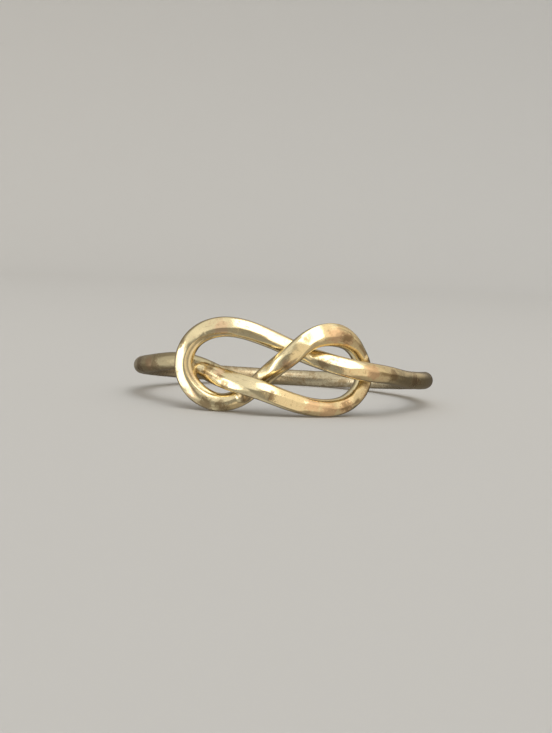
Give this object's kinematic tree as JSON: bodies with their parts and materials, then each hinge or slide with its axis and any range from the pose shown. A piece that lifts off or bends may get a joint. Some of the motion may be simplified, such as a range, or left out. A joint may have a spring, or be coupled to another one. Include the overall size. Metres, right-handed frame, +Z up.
{
  "type": "knot ring",
  "caption": "Finger ring of one round gold wire tied in an open figure-eight knot at the front, with a plain closed band.",
  "frame": {"origin": "on the surface that the ring lies on, under the middle of its bounding box", "axes": "+Z up, leaning 7 degrees from the finger's axis; -Y out through the knot; +X along the knot, to the right as it is seen from the front"},
  "size_m": [0.0194, 0.0206, 0.0056],
  "materials": {
    "gold": "polished pale yellow gold with fine wear"
  },
  "bodies": {
    "root": {"knot_ring": "gold"}
  },
  "joints": []
}
